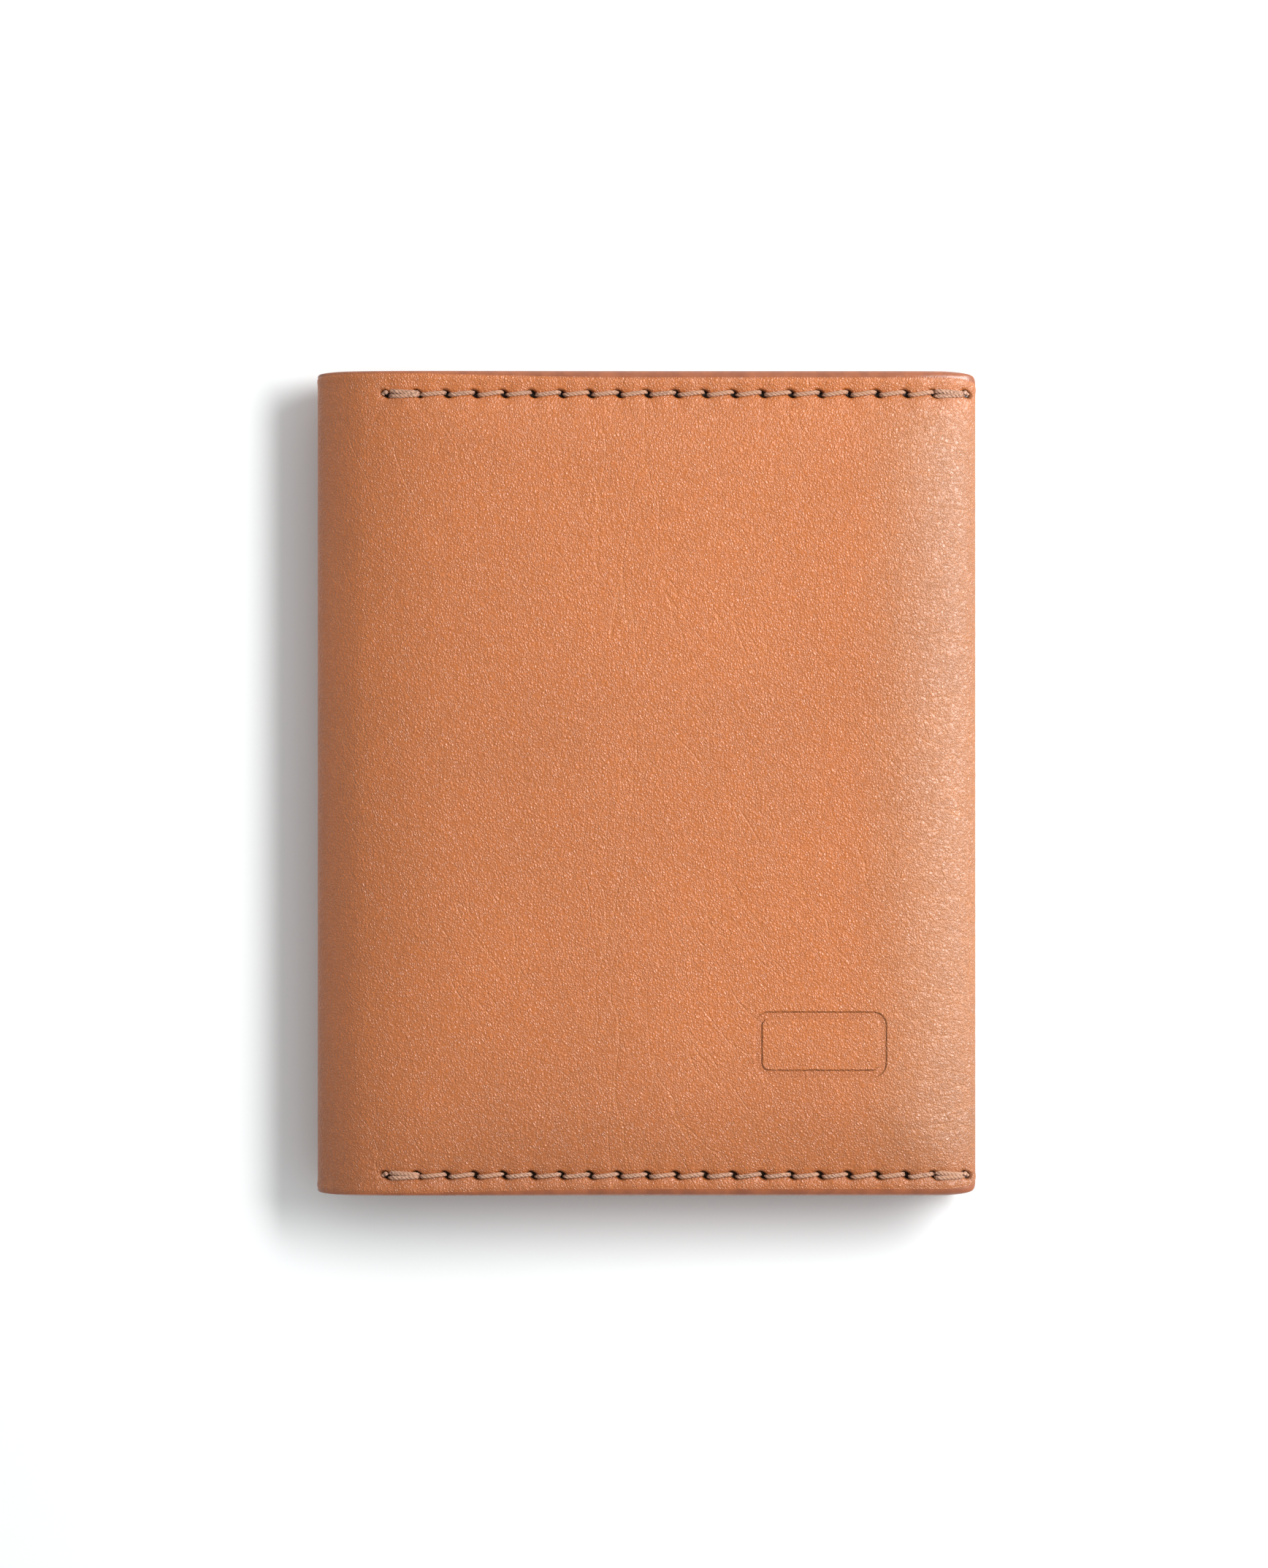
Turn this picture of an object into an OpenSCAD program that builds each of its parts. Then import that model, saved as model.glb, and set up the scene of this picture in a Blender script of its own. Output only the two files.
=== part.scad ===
// Bifold card wallet in tan leather, closed and lying on its back cover.
// The fold runs along Y on the -X side, the turned fore edges are on the +X side,
// and +Z is up. The origin is under the middle of the closed wallet.
// Each half is a sewn packet: a leather shell that turns in at the fore edge, with
// a board, a lining, a note sleeve and stepped card pockets inside it.
// Inside a half, u runs from the fold to the fore edge and z is the depth from the
// outer face, so both halves share their modules and the front one is mirrored.
// The soft fold is a half round that opens at three creases, a third of it each.
// A crease's axis lies outside the leather, where the outer face keeps its length:
// for a crease that turns by c radians, at fold_r * c / 2 / sin(c / 2) from the
// fold's centre. Here c is 60 degrees, and the creases are 30, 90 and 150 degrees
// round from the back cover.

/* [Closed wallet] */
// Width from the fold to the fore edge
wallet_w = 84; // [80:1:95]
// Height along the fold
wallet_h = 105; // [100:1:115]
// Space between the inner faces of the two halves when closed
halves_gap = 0.7; // [0.7:0.1:2]

/* [Layers] */
// Thickness of the cover leather
leather_t = 1.1; // [0.9:0.05:1.3]
// Thickness of the board that pads each cover
board_t = 0.7; // [0.4:0.05:0.8]
// Thickness of the lining cloth
lining_t = 0.3; // [0.2:0.05:0.4]
// Depth of the empty note sleeve
sleeve_space = 0.4; // [0.4:0.05:1]
// Thickness of the divider between the note sleeve and the card pockets
divider_t = 0.4; // [0.3:0.05:0.6]
// Thickness of a card pocket panel
pocket_t = 0.65; // [0.5:0.05:0.8]
// Slack between the panels of empty pockets
slack = 0.15; // [0.1:0.05:1]

/* [Pockets] */
// Stitches from one pocket mouth to the next
mouth_step = 2; // [1:1:2]
// Length of a card pocket panel, from its mouth to its glued bottom
pocket_depth = 55; // [48:1:56]

/* [Seams] */
// Number of stitches in a row
stitches = 20; // [18:1:22]
// Distance from the fold edge to the first hole of a row
row_start = 9.3; // [9:0.1:12]
// Distance from the last hole of a row to the fore edge
row_end = 1.6; // [1.5:0.1:3]
// Distance from the top edge to its row
top_inset = 2.9; // [2.4:0.1:3.4]
// Distance from the bottom edge to its row
bottom_inset = 2.6; // [2.4:0.1:3.4]
// Thickness of the thread
thread_d = 0.5; // [0.4:0.05:0.6]
// How far a cover sinks from its middle down to its seams
seam_drop = 1; // [0.7:0.05:1.1]

/* [Hidden] */

$fn = 64;
over = 1;                 // how far a cutting solid runs past what it cuts

// Colours
tan = "#D0825A";
inner_tan = "#B9724A";
cloth_brown = "#6E4A33";
board_grey = "#A89C8C";
thread_taupe = "#B49080";

// Depths of the layers from the outer face of a half
lining_z = leather_t + board_t;
divider_z = lining_z + lining_t + sleeve_space;
rear_z = divider_z + divider_t + slack;
front_z = rear_z + pocket_t + slack;
inner_z = front_z + pocket_t + slack;
half_t = inner_z + leather_t;

// The closed wallet, its half-round fold and its turned fore edges
wallet_t = 2 * half_t + halves_gap;
fold_r = wallet_t / 2;
fore_r = half_t / 2;

// Creases, in degrees round the fold, and the open gap that each one needs
back_crease = 30;
middle_crease = 90;
crease_gap = 0.8;
gap_angle = crease_gap / fold_r * 180 / PI;

// Across the top and bottom edges: the flat seam margin, then the swell beside it
seam_w = 4.2;
swell_w = 4.8;
swell_steps = 8;
edge_r = 0.45;            // rounding of the cut and painted edges
edge_steps = 4;

// Rounding of the plan's corners, along X and along Y
fold_corner = [4.3, 0.4];
fore_corner = [4.2, 0.9];
corner_steps = 6;

// Rows of stitches
pitch = (wallet_w - row_start - row_end) / stitches;
thread_r = thread_d / 2;
hole_r = thread_r + 0.05;
mouth_margin = 1.4;       // from a pocket's mouth to its first hole
top_row_y = wallet_h / 2 - top_inset;
bottom_row_y = bottom_inset - wallet_h / 2;

// The board and the lining end short of the folds around them
board_margin = seam_w + swell_w;
board_start = 11;
board_end = 4;
lining_end = 3;
lining_rise = board_start - 0.4;    // where the lining steps up onto the board

function hole_u(i) = row_start + i * pitch;
function mouth_u(k) = hole_u(k * mouth_step) - mouth_margin;

// Depth of a cover's outer face at a distance v from the top or bottom edge
function cover_drop(v) =
    v <= seam_w ? seam_drop
    : v >= seam_w + swell_w ? 0
    : seam_drop * (1 + cos(180 * (v - seam_w) / swell_w)) / 2;

// Distances from the edge where a cover's profile has a point
swell_v = [for (i = [0 : swell_steps]) seam_w + swell_w * i / swell_steps];
seam_depths = [for (v = swell_v) cover_drop(v)];

// Points in Y and Z along a sheet's face, from the bottom edge to the top edge
function face_points(depths, past) = concat(
    [[-wallet_h / 2 - past, depths[0]]],
    [for (i = [0 : swell_steps]) [swell_v[i] - wallet_h / 2, depths[i]]],
    [for (i = [swell_steps : -1 : 0]) [wallet_h / 2 - swell_v[i], depths[i]]],
    [[wallet_h / 2 + past, depths[0]]]
);

// The rounding of a painted edge, from the edge onto the cover's face
edge_arc = [for (i = [0 : edge_steps])
    let (a = 90 * i / edge_steps)
    [edge_r * (1 - cos(a)) - wallet_h / 2, seam_drop + edge_r * (1 - sin(a))]];

// The cover's outer face, rounded at both edges
outer_face = concat(
    edge_arc,
    [for (i = [0 : swell_steps]) [swell_v[i] - wallet_h / 2, seam_depths[i]]],
    [for (i = [swell_steps : -1 : 0]) [wallet_h / 2 - swell_v[i], seam_depths[i]]],
    [for (i = [edge_steps : -1 : 0]) [-edge_arc[i][0], edge_arc[i][1]]]
);

// The same face sunk into the leather, run past the edges
function sunk_face(inset) =
    inset == 0 ? outer_face : face_points([for (d = seam_depths) d + inset], over);

// A face seen from the other side of the closed wallet, in reverse order
function across(points) =
    [for (i = [len(points) - 1 : -1 : 0]) [points[i][0], wallet_t - points[i][1]]];

// Points of a plan corner's quarter ellipse, from along X to along Y
function corner_points(size) =
    [for (i = [0 : corner_steps])
        let (a = 90 * i / corner_steps)
        [size[0] * (1 - sin(a)), size[1] * (1 - cos(a))]];

// Turns a profile in Y and Z into a solid from u = start to u = end
module along_x(start, end) {
    translate([start, 0, 0])
        rotate([90, 0, 90])
            linear_extrude(end - start) children();
}

// A round bar along the whole height, past the edges when inset is not 0
module bar(u, z, r, past) {
    translate([u, wallet_h / 2 + past, z])
        rotate([90, 0, 0])
            cylinder(r = r, h = wallet_h + 2 * past);
}

// A flat sheet over the whole height
module sheet(start, end, z, t, margin = 0) {
    translate([start, margin - wallet_h / 2, z])
        cube([end - start, wallet_h - 2 * margin, t]);
}

// The outline of the closed wallet in plan, as a solid of its whole thickness
module plan_block() {
    fold_pts = corner_points(fold_corner);
    fore_pts = corner_points(fore_corner);
    upper = concat(
        [for (i = [corner_steps : -1 : 0]) [fold_pts[i][0], wallet_h / 2 - fold_pts[i][1]]],
        [for (i = [0 : corner_steps]) [wallet_w - fore_pts[i][0], wallet_h / 2 - fore_pts[i][1]]]
    );
    lower = [for (i = [len(upper) - 1 : -1 : 0]) [upper[i][0], -upper[i][1]]];
    translate([0, 0, -over])
        linear_extrude(wallet_t + 2 * over)
            polygon(concat(upper, lower));
}

// The leather packet of a half, shrunk on every face but its ends by inset
module packet(inset) {
    past = inset == 0 ? 0 : over;
    start = fold_r - past;
    intersection() {
        union() {
            bar(wallet_w - fore_r, fore_r, fore_r - inset, past);
            translate([start, -wallet_h / 2 - past, inset])
                cube([wallet_w - fore_r - start, wallet_h + 2 * past, half_t - 2 * inset]);
        }
        along_x(start - over, wallet_w + over)
            polygon(concat(
                sunk_face(inset),
                [[wallet_h / 2 + past, half_t], [-wallet_h / 2 - past, half_t]]
            ));
    }
}

// The holes of both rows through a half
module row_holes() {
    for (y = [top_row_y, bottom_row_y])
        for (i = [0 : stitches])
            translate([hole_u(i), y, -over])
                cylinder(r = hole_r, h = half_t + 2 * over, $fn = 16);
}

// The body that fills the half-round fold, shrunk on its outer face by inset
module fold_body(inset) {
    past = inset == 0 ? 0 : over;
    intersection() {
        bar(fold_r, fold_r, fold_r - inset, past);
        along_x(-over, fold_r + over)
            polygon(concat(sunk_face(inset), across(sunk_face(inset))));
    }
}

// A wedge of the fold between two angles round from the back cover
module fold_wedge(from, to) {
    far = 3 * fold_r;
    translate([fold_r, wallet_h / 2 + over, fold_r])
        rotate([90, 0, 0])
            linear_extrude(wallet_h + 2 * over)
                polygon([
                    [0, 0],
                    [-far * sin(from), -far * cos(from)],
                    [-far * sin((from + to) / 2), -far * cos((from + to) / 2)],
                    [-far * sin(to), -far * cos(to)]
                ]);
}

// One layer of the fold between two depths and two angles
module fold_layer(outer, inner, from, to) {
    difference() {
        intersection() {
            fold_body(outer);
            plan_block();
            fold_wedge(from, to);
        }
        fold_body(inner);
    }
}

// The stretch of the fold that stays with a cover
module cover_roll(outer, inner) {
    fold_layer(outer, inner, 0, back_crease - gap_angle / 2);
}

// The leather shell of a half: cover, turned fore edge and inner panel in one
module shell() {
    color(tan)
        union() {
            difference() {
                intersection() {
                    packet(0);
                    plan_block();
                }
                packet(leather_t);
                translate([fold_r - over, -wallet_h / 2 - over, inner_z])
                    cube([mouth_u(3) - fold_r + over, wallet_h + 2 * over, leather_t + over]);
                row_holes();
            }
            cover_roll(0, leather_t);
        }
}

// The board that fills out the middle of a cover
module board() {
    color(board_grey)
        sheet(board_start, wallet_w - board_end, leather_t, board_t, board_margin);
}

// A stretch of lining cloth from u = start to u = end, at a depth for each profile point
module lining_strip(depths, start, end) {
    under = face_points(depths, over);
    top = [for (i = [len(under) - 1 : -1 : 0]) under[i] + [0, lining_t]];
    intersection() {
        along_x(start, end) polygon(concat(under, top));
        plan_block();
    }
}

// The lining cloth, on the leather round the fold, then up and over the board
module lining() {
    on_leather = [for (d = seam_depths) d + leather_t];
    on_board = [for (d = on_leather) max(lining_z, d)];
    color(cloth_brown)
        difference() {
            union() {
                cover_roll(leather_t, leather_t + lining_t);
                lining_strip(on_leather, fold_r, lining_rise);
                lining_strip(on_board, lining_rise - lining_t, wallet_w - lining_end);
                sheet(lining_rise - lining_t, lining_rise, leather_t,
                    board_t + lining_t, board_margin);
            }
            row_holes();
        }
}

// A panel sewn into both seams, from its mouth to its far end
module panel(mouth, end, z, t) {
    color(inner_tan)
        difference() {
            intersection() {
                sheet(mouth, end, z, t);
                plan_block();
            }
            row_holes();
        }
}

module sleeve_divider() {
    panel(mouth_u(0), wallet_w - fore_r, divider_z, divider_t);
}

module rear_pocket() {
    panel(mouth_u(1), mouth_u(1) + pocket_depth, rear_z, pocket_t);
}

module front_pocket() {
    panel(mouth_u(2), mouth_u(2) + pocket_depth, front_z, pocket_t);
}

// Depth of the innermost face that a hole reaches
function inner_level(i) =
    i < mouth_step ? divider_z + divider_t
    : i < 2 * mouth_step ? rear_z + pocket_t
    : i < 3 * mouth_step ? front_z + pocket_t
    : half_t;

// One stitch lying on a face: a half-round bar on the side that rise points to
module stitch_bar(i, y, z, rise) {
    translate([hole_u(i), y, z])
        intersection() {
            rotate([0, 90, 0]) cylinder(r = thread_r, h = pitch, $fn = 24);
            translate([0, -thread_r, rise > 0 ? 0 : -thread_r])
                cube([pitch, thread_d, thread_r]);
        }
}

// A row of thread through a half, with doubled stitches at both ends
module thread_row(y) {
    color(thread_taupe)
        union() {
            for (i = [0 : stitches])
                translate([hole_u(i), y, seam_drop])
                    cylinder(
                        r = thread_r,
                        h = inner_level(min(i, stitches - 1)) - seam_drop,
                        $fn = 24
                    );
            for (i = [0 : stitches - 1]) {
                doubled = i == 0 || i == stitches - 1;
                for (side = doubled ? [-0.9, 0.9] : [0])
                    stitch_bar(i, y + side * thread_r, seam_drop, -1);
                stitch_bar(i, y, inner_level(i + 1), 1);
            }
        }
}

// The half of the fold next to the back half, as one strip between two creases
module spine_strip(outer, inner) {
    fold_layer(outer, inner, back_crease + gap_angle / 2, middle_crease - gap_angle / 2);
}

module spine_leather() {
    color(tan) spine_strip(0, leather_t);
}

module spine_lining() {
    color(cloth_brown) spine_strip(leather_t, leather_t + lining_t);
}

// Where the two halves lie in the closed wallet
module back_half() {
    translate([-wallet_w / 2, 0, 0]) children();
}

module front_half() {
    translate([-wallet_w / 2, 0, wallet_t])
        mirror([0, 0, 1]) children();
}

back_half() shell();  // back_shell
back_half() board();  // back_board
back_half() lining();  // back_lining
back_half() sleeve_divider();  // back_sleeve_divider
back_half() rear_pocket();  // back_rear_pocket
back_half() front_pocket();  // back_front_pocket
back_half() thread_row(top_row_y);  // back_top_thread
back_half() thread_row(bottom_row_y);  // back_bottom_thread
back_half() spine_leather();  // spine_leather_back
back_half() spine_lining();  // spine_lining_back
front_half() spine_leather();  // spine_leather_front
front_half() spine_lining();  // spine_lining_front
front_half() shell();  // front_shell
front_half() board();  // front_board
front_half() lining();  // front_lining
front_half() sleeve_divider();  // front_sleeve_divider
front_half() rear_pocket();  // front_rear_pocket
front_half() front_pocket();  // front_front_pocket
front_half() thread_row(top_row_y);  // front_top_thread
front_half() thread_row(bottom_row_y);  // front_bottom_thread
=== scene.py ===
"""A closed bifold card wallet in tan leather, lying on its back cover, seen from above.

Shapes are worked out in millimetres in a frame that both halves share: u runs from the
fold to the fore edge, y along the fold, and depth from the outer face of a cover inwards.
"""

import math

import bpy
import numpy as np
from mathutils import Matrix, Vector


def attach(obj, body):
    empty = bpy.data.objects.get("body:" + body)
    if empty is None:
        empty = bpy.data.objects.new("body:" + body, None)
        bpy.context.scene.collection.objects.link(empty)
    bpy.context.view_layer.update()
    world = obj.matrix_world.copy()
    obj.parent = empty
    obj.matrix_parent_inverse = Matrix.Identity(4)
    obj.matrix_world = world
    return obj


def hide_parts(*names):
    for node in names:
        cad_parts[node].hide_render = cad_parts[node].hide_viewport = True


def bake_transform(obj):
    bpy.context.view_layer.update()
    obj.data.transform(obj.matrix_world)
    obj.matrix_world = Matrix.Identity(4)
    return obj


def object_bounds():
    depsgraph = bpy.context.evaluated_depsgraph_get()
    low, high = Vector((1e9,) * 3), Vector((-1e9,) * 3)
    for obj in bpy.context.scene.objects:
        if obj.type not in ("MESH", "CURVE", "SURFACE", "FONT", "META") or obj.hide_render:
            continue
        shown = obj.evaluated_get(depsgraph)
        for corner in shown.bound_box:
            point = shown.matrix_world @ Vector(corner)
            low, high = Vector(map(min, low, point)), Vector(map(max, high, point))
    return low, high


MM = 0.001

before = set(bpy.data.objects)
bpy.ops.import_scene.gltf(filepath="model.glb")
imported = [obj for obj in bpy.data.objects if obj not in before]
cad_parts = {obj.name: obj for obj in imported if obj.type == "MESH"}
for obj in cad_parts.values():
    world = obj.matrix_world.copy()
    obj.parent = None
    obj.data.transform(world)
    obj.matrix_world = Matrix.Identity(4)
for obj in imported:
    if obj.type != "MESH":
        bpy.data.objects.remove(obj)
CAD_LOW, CAD_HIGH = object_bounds()
WIDTH = round(2 * CAD_HIGH.x / MM, 3)  # the CAD's facets stop a little short of it at the fold
HALF_H = (CAD_HIGH.y - CAD_LOW.y) / 2 / MM
THICK = (CAD_HIGH.z - CAD_LOW.z) / MM

# Layers, in mm of depth from the outer face, away from the seams
LEATHER_T = 1.1
BOARD_T = 0.7
LINING_T = 0.3
PRESSED_T = 2.4  # the turned leather at the two ends of the fore edge, where the seams press it
DIVIDER = (2.5, 2.9)
REAR_POCKET = (3.05, 3.7)
FRONT_POCKET = (3.85, 4.5)
INNER_FACE = 5.75

# The fold and the turned fore edge
FOLD_R = THICK / 2
FORE_ROLL = 11.0
FORE_POWER = 2.1
FORE_DEPTH = 3.3
INNER_ROLL = 2.6
FOLD_CORNER = (4.3, 0.4)
FORE_CORNER = (4.2, 0.9)
SPLIT_DEG = 60

# How a cover sinks towards the fold and towards its seams
DOME_DROP = 4.0
DOME_REACH = 8.0
FORE_DROP = 1.1
FORE_REACH = 14
SEAM_DROP = 1.0
SEAM_REACH = 11

# The rounding of the cut and painted edges: on a cover and on the turned-in leather
BAND_AT_FOLD = 0.3
BAND_WIDENS = 0.66
RIM = 0.6
LIP = 0.5

# Lines pressed beside the mouths of the panels
CREASE_INSET = 2.1
CREASE_WIDTH = 0.2
CREASE_DEPTH = 0.07

# Creases that run from the start of a row: degrees round from the fore edge, length, depth
ROW_CREASES = ((118, 5.5, 0.07), (142, 6.5, 0.08), (165, 4.5, 0.05), (205, 3.2, 0.04))

# Creases across the lower corner by the fold: first u, slope, bend, depth
CORNER_CREASES = ((12.5, 0.55, 0.02, 0.05), (17, 0.62, 0.015, 0.045), (23, 0.5, 0.02, 0.03))

# Stitch rows
STITCHES = 20
ROW_START = 9.3
ROW_END = 1.6
PITCH = (WIDTH - ROW_START - ROW_END) / STITCHES
TOP_INSET = 2.9
BOTTOM_INSET = 2.6
THREAD_D = 0.56
HOLES = ROW_START + PITCH * np.arange(STITCHES + 1)

# Mouths of the layers, and how far the panels and the board reach
MOUTH_MARGIN = 1.4
POCKET_DEPTH = 55
DIVIDER_MOUTH, REAR_MOUTH, FRONT_MOUTH, PANEL_MOUTH = HOLES[[0, 2, 4, 6]] - MOUTH_MARGIN
DIVIDER_END = WIDTH - 5.5
BOARD_U = (11, WIDTH - 8)
BOARD_MARGIN = 9
LINING_END = WIDTH - 3

# Colours, and the plain frame stamped on the front: its centre, half its size, radius and line
LEATHER_TONE = (0.518, 0.144, 0.025)
INNER_TONE = (0.48, 0.138, 0.038)
# HOLE_SHADE is painted shade: a near-black colour for the insides of the stitch holes.
HOLE_SHADE = (0.03, 0.01, 0.004)
EDGE_PAINT = ((0.33, 0.088, 0.024), (0.24, 0.06, 0.015))
STAMP = ((22.2, -33.2), (7.9, 3.7), 1.3, 0.95)

# Light: how bright the room is past the fold, past the fore edge and straight overhead
FOLD_SIDE = 0.51
FORE_SIDE = 0.95
OVERHEAD = 0.35
BRIGHTER_TOWARDS = (0.82, 0.58, 0.0)


def smooth(x, start, end):
    """0 before start, 1 after end, and an even curve between them."""
    t = np.clip((x - start) / (end - start), 0, 1)
    return t * t * (3 - 2 * t)


def graded(*spans):
    """Positions over spans of (start, end, step), from the first start to the last end."""
    parts = []
    for start, end, step in spans:
        count = max(1, round((end - start) / step))
        parts.append(np.linspace(start, end, count, endpoint=False))
    parts.append(np.array([spans[-1][1]]))
    return np.concatenate(parts)


# ---------------------------------------------------------------- outer face of a cover


def edge_y(u):
    """Half the wallet's height at u, with its rounded corners."""
    fold = np.clip(1 - u / FOLD_CORNER[0], 0, 1)
    fore = np.clip((u - WIDTH) / FORE_CORNER[0] + 1, 0, 1)
    cut = FOLD_CORNER[1] * (1 - np.sqrt(1 - fold**2)) + FORE_CORNER[1] * (1 - np.sqrt(1 - fore**2))
    return HALF_H - cut


def dome(u):
    """How far a cover, and what lies in it, sinks towards the fold."""
    return DOME_DROP * np.exp(-u / DOME_REACH)


def cover_depth(u, y):
    """Depth of a cover's flat part: the pillow between the seams and the fold."""
    inset = np.where(y > 0, TOP_INSET, BOTTOM_INSET)
    beyond = np.clip((HALF_H - np.abs(y) - inset) / SEAM_REACH, 0, 1)
    seam = SEAM_DROP * (1 - beyond) ** 2.2 * smooth(u, 3.5, 9.5)
    waves = 0.05 * np.sin(0.15 * u + 0.06 * y + 1) * np.sin(0.085 * y - 0.05 * u)
    waves += 0.025 * np.sin(0.31 * u - 0.12 * y) * np.sin(0.2 * y + 2)
    fore = FORE_DROP * np.clip((u - WIDTH) / FORE_REACH + 1, 0, 1) ** 2.2
    return np.cbrt(dome(u) ** 3 + fore**3 + seam**3) + waves * smooth(u, 4, 16) * (1 - seam)


def outer_depth(u, y):
    """Depth of a cover's whole outer face, with the fold's roll and the fore edge's."""
    turn = np.sqrt(1 - np.clip(1 - u / FOLD_R, 0, 1) ** 2)
    depth = FOLD_R * (1 - turn) + cover_depth(u, y) * turn**1.3
    along = np.clip((u - WIDTH) / FORE_ROLL + 1, 0, 1)
    return FORE_DEPTH - (FORE_DEPTH - depth) * np.sqrt(1 - along**FORE_POWER)


def rounded(distance, radius):
    """How far a face sinks at a distance from an edge that is rounded to a radius."""
    return radius * (1 - np.sqrt(1 - np.clip(1 - distance / radius, 0, 1) ** 2))


def mouth_crease(u, mouth):
    """Depth of the line pressed beside a panel's mouth."""
    return CREASE_DEPTH * np.exp(-(((u - mouth - CREASE_INSET) / CREASE_WIDTH) ** 2))


def edge_band(u):
    """Width of the painted edge's rounding, narrow beside the fold."""
    return BAND_AT_FOLD + BAND_WIDENS * smooth(u, 5, 40)


def slit_holes(u, y, row_y):
    """1 in the middle of the slanted slits that the thread goes through, 0 away from them."""
    turn = math.radians(-38)
    found = np.zeros_like(u)
    for i, hole in enumerate(HOLES):
        end = 0.5 if i == STITCHES else -0.45 if i == 0 else 0.0
        du, dy = u - hole - end, y - row_y
        long = du * math.cos(turn) + dy * math.sin(turn)
        short = dy * math.cos(turn) - du * math.sin(turn)
        found = np.maximum(found, np.exp(-(((long / 0.62) ** 2 + (short / 0.36) ** 2) ** 1.5)))
    return found


def stitch_marks(u, y, row_y):
    """How far the leather sinks around one row of stitches."""
    out = np.sign(row_y)
    along = smooth(u, HOLES[0] - 1.2, HOLES[0]) * (1 - smooth(u, HOLES[-1], HOLES[-1] + 0.8))
    across = y - row_y
    wave = np.cos(2 * math.pi * (u - HOLES[0]) / PITCH)
    sink = along * (0.13 + 0.09 * wave) * np.exp(-((across / 0.5) ** 2))
    sink += along * 0.045 * wave * np.exp(-(((np.abs(across) - 1.1) / 0.9) ** 2))
    sink += 0.95 * slit_holes(u, y, row_y)
    for angle, length, depth in ROW_CREASES:
        turn = math.radians(angle)
        du, dy = u - HOLES[0], across * out
        far = du * math.cos(turn) + dy * -math.sin(turn)
        aside = dy * math.cos(turn) + du * math.sin(turn)
        fade = smooth(far, 0, 1) * (1 - smooth(far, length * 0.4, length))
        sink += depth * fade * np.exp(-((aside / 0.28) ** 2))
    return sink


def cover_marks(u, y):
    """How far the outer face sinks from its smooth shape: painted edges, seams, creases."""
    edge = edge_y(u) - np.abs(y)
    band = edge_band(u)
    firm = 0.78 * (1 - 0.75 * smooth(u, WIDTH - 3, WIDTH - 0.3)) * (0.4 + 0.6 * smooth(u, 0, 5))
    sink = firm * rounded(edge, band)
    sink += 0.05 * np.exp(-(((edge - band - 0.05) / 0.09) ** 2))
    sink -= 0.06 * np.exp(-(((edge - band - 0.5) / 0.4) ** 2))
    for row_y in (HALF_H - TOP_INSET, BOTTOM_INSET - HALF_H):
        sink += stitch_marks(u, y, row_y)
    for start, slope, bend, depth in CORNER_CREASES:
        line = (y + HALF_H - 15) - slope * (u - start) - bend * (u - start) ** 2
        reach = np.exp(-(((u - start - 5) / 5) ** 2))
        sink += depth * reach * np.exp(-((line / 0.9) ** 2))
    ripple = np.sin(2 * math.pi * y / 2.9 + 1.3 * np.sin(0.23 * y) + 0.25 * u)
    rolled = smooth(u, WIDTH - 9, WIDTH - 4) * smooth(edge, 6, 14)
    sink += 0.016 * rolled * ripple * (0.6 + 0.4 * np.sin(0.37 * y + 1))
    return sink


# ------------------------------------------------------------------------- mesh building


def inward(grid):
    """Unit normals of a grid of points, towards the inside of a half."""
    across = np.gradient(grid, axis=1)
    along = np.gradient(grid, axis=0)
    normal = np.cross(across, along)
    return normal / np.linalg.norm(normal, axis=2, keepdims=True)


def every(count, step):
    """Indices 0, step, 2 * step and so on, always with the last one."""
    picked = list(range(0, count - 1, step))
    return picked + [count - 1]


def sheet_mesh(name, outer, inner, front, step=(1, 1), **masks):
    """A closed sheet between two grids of points in mm, in the frame that both halves share.

    The outer grid is kept whole. The inner one keeps every step-th row and column.
    Each mask is a grid of values that the materials read by its name.
    """
    rows, cols = outer.shape[:2]
    row_pick, col_pick = every(rows, step[0]), every(cols, step[1])
    small = inner[np.ix_(row_pick, col_pick)]
    base = rows * cols
    points = np.vstack([outer.reshape(-1, 3), small.reshape(-1, 3)])

    def far(i, j):
        return i * cols + j

    def near(a, b):
        return base + a * len(col_pick) + b

    faces = [
        (far(i, j), far(i + 1, j), far(i + 1, j + 1), far(i, j + 1))
        for i in range(rows - 1)
        for j in range(cols - 1)
    ]
    faces += [
        (near(a, b), near(a, b + 1), near(a + 1, b + 1), near(a + 1, b))
        for a in range(len(row_pick) - 1)
        for b in range(len(col_pick) - 1)
    ]
    for b, (j0, j1) in enumerate(zip(col_pick, col_pick[1:])):
        first = [far(0, j) for j in range(j0, j1 + 1)]
        last = [far(rows - 1, j) for j in range(j1, j0 - 1, -1)]
        faces.append(tuple(first + [near(0, b + 1), near(0, b)]))
        faces.append(tuple(last + [near(len(row_pick) - 1, b), near(len(row_pick) - 1, b + 1)]))
    for a, (i0, i1) in enumerate(zip(row_pick, row_pick[1:])):
        first = [far(i, 0) for i in range(i1, i0 - 1, -1)]
        last = [far(i, cols - 1) for i in range(i0, i1 + 1)]
        faces.append(tuple(first + [near(a, 0), near(a + 1, 0)]))
        faces.append(tuple(last + [near(a + 1, len(col_pick) - 1), near(a, len(col_pick) - 1)]))
    obj = mesh_object(name, points, faces, front)
    for mask, value in masks.items():
        both = np.concatenate([value.reshape(-1), value[np.ix_(row_pick, col_pick)].reshape(-1)])
        layer = obj.data.attributes.new(mask, "FLOAT", "POINT")
        layer.data.foreach_set("value", both.astype(np.float32))
    return obj


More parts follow.
